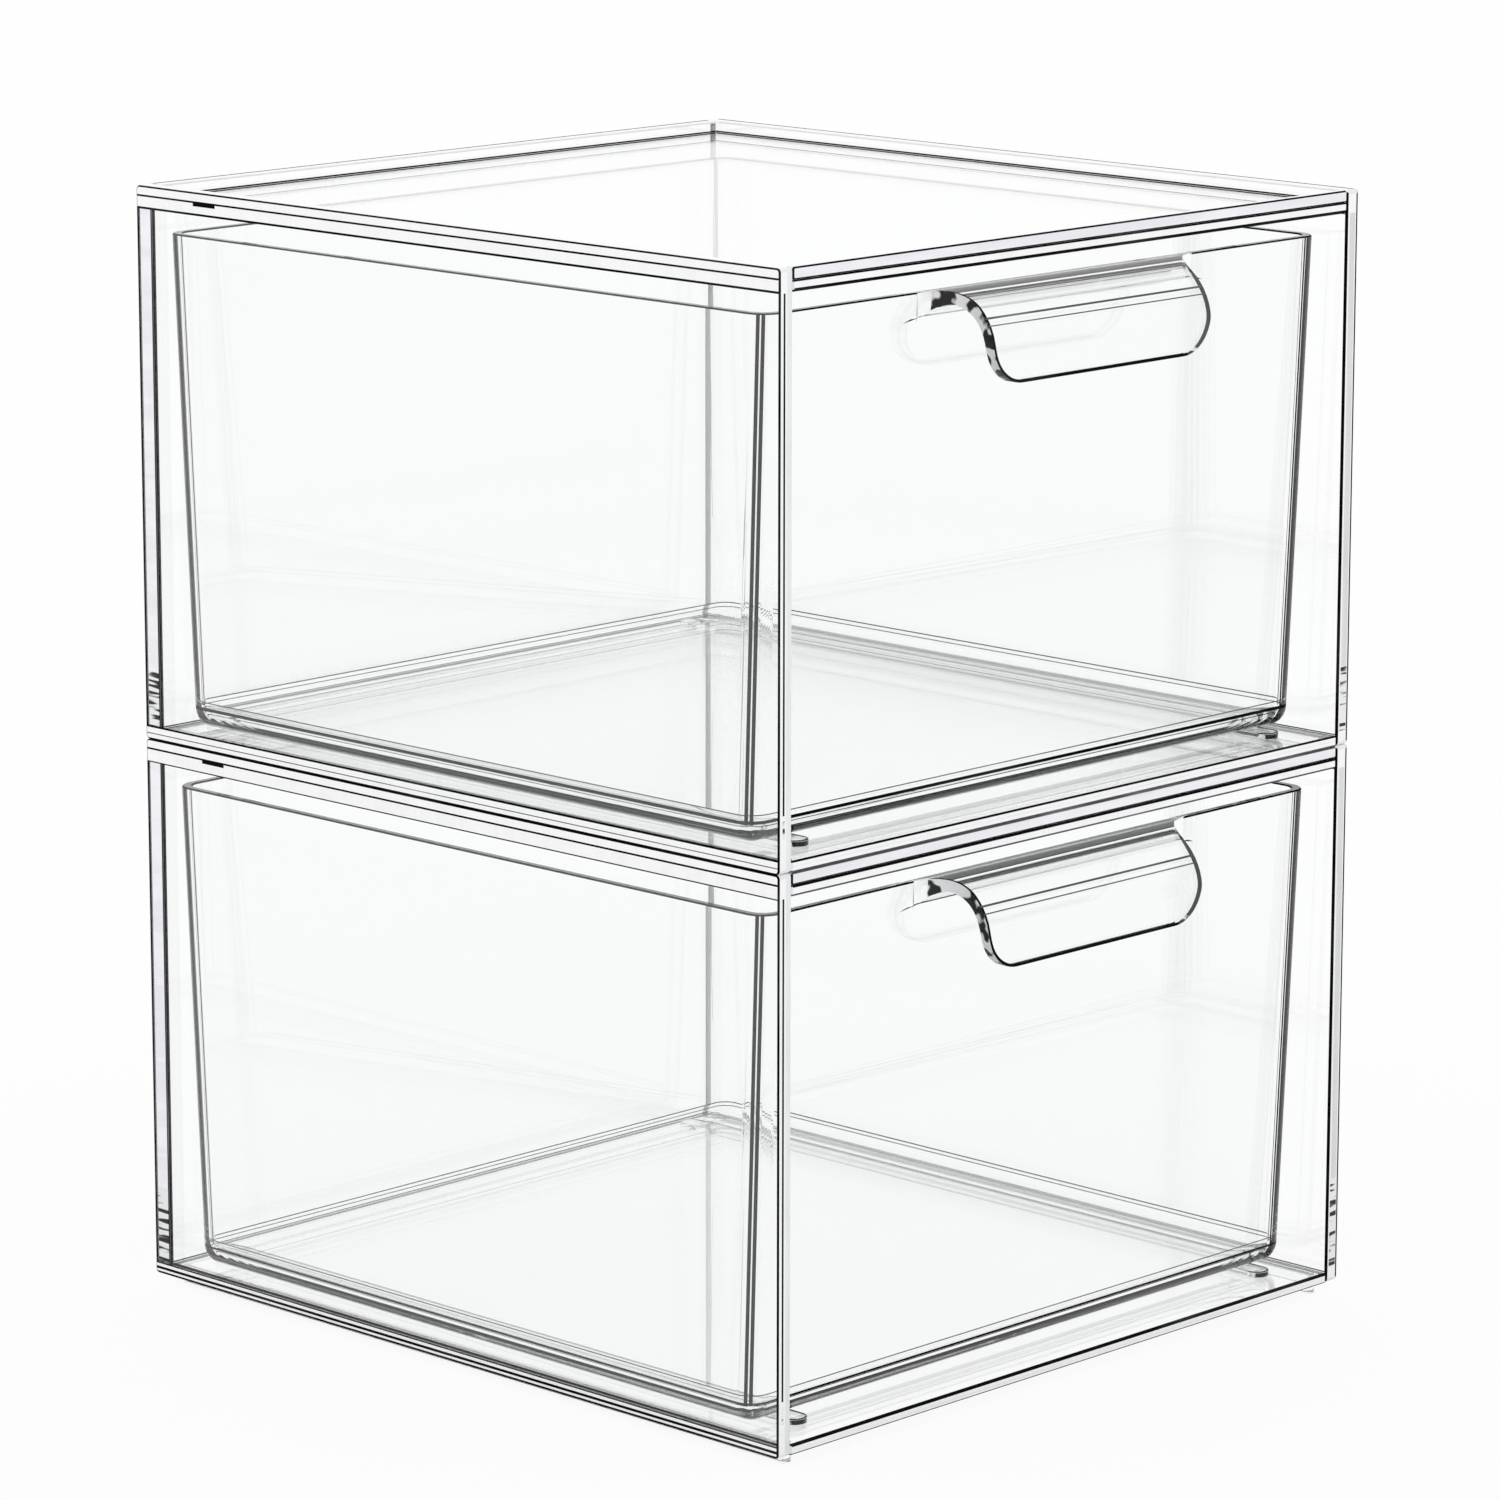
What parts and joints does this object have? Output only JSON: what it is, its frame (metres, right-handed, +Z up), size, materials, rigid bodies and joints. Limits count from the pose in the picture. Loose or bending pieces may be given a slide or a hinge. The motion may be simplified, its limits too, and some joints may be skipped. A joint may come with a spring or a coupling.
{
  "type": "stacking drawer organizer",
  "caption": "Clear stacking organizer: open-fronted sheet casings that key together by a raised lip, each holding a pull-out tray with a curled waterfall pull.",
  "frame": {"origin": "under the middle of the object's bounding box, on the surface that its lowest ribs stand on", "axes": "+Z up, the drawers open towards -Y, and +X is to the right seen from the front"},
  "size_m": [0.165, 0.1828, 0.2262],
  "materials": {
    "clear_sheet": "clear polished acrylic sheet with flame-polished edges",
    "clear_rib": "clear round-edged acrylic bar, bonded on",
    "clear_tray": "clear glossy moulding"
  },
  "bodies": {
    "lower_casing": {"lower_left_wall": "clear_sheet", "lower_right_wall": "clear_sheet", "lower_back_wall": "clear_sheet", "lower_floor_panel": "clear_sheet", "lower_top_panel": "clear_sheet", "lower_front_lip": "clear_sheet", "lower_left_stacking_rib": "clear_rib", "lower_right_stacking_rib": "clear_rib", "lower_left_slide_rib": "clear_rib", "lower_right_slide_rib": "clear_rib"},
    "upper_casing": {"upper_left_wall": "clear_sheet", "upper_right_wall": "clear_sheet", "upper_back_wall": "clear_sheet", "upper_floor_panel": "clear_sheet", "upper_top_panel": "clear_sheet", "upper_front_lip": "clear_sheet", "upper_left_stacking_rib": "clear_rib", "upper_right_stacking_rib": "clear_rib", "upper_left_slide_rib": "clear_rib", "upper_right_slide_rib": "clear_rib"},
    "lower_tray": {"lower_drawer": "clear_tray"},
    "upper_tray": {"upper_drawer": "clear_tray"}
  },
  "joints": [
    {"name": "lower_drawer_slide", "type": "slide", "parent": "lower_casing", "child": "lower_tray", "axis": [0, -1, 0], "range_m": [0, 0.13]},
    {"name": "upper_drawer_slide", "type": "slide", "parent": "upper_casing", "child": "upper_tray", "axis": [0, -1, 0], "range_m": [0, 0.13]},
    {"name": "upper_unit_lift", "type": "slide", "parent": "lower_casing", "child": "upper_casing", "axis": [0, 0, 1], "range_m": [0, 0.05]}
  ]
}
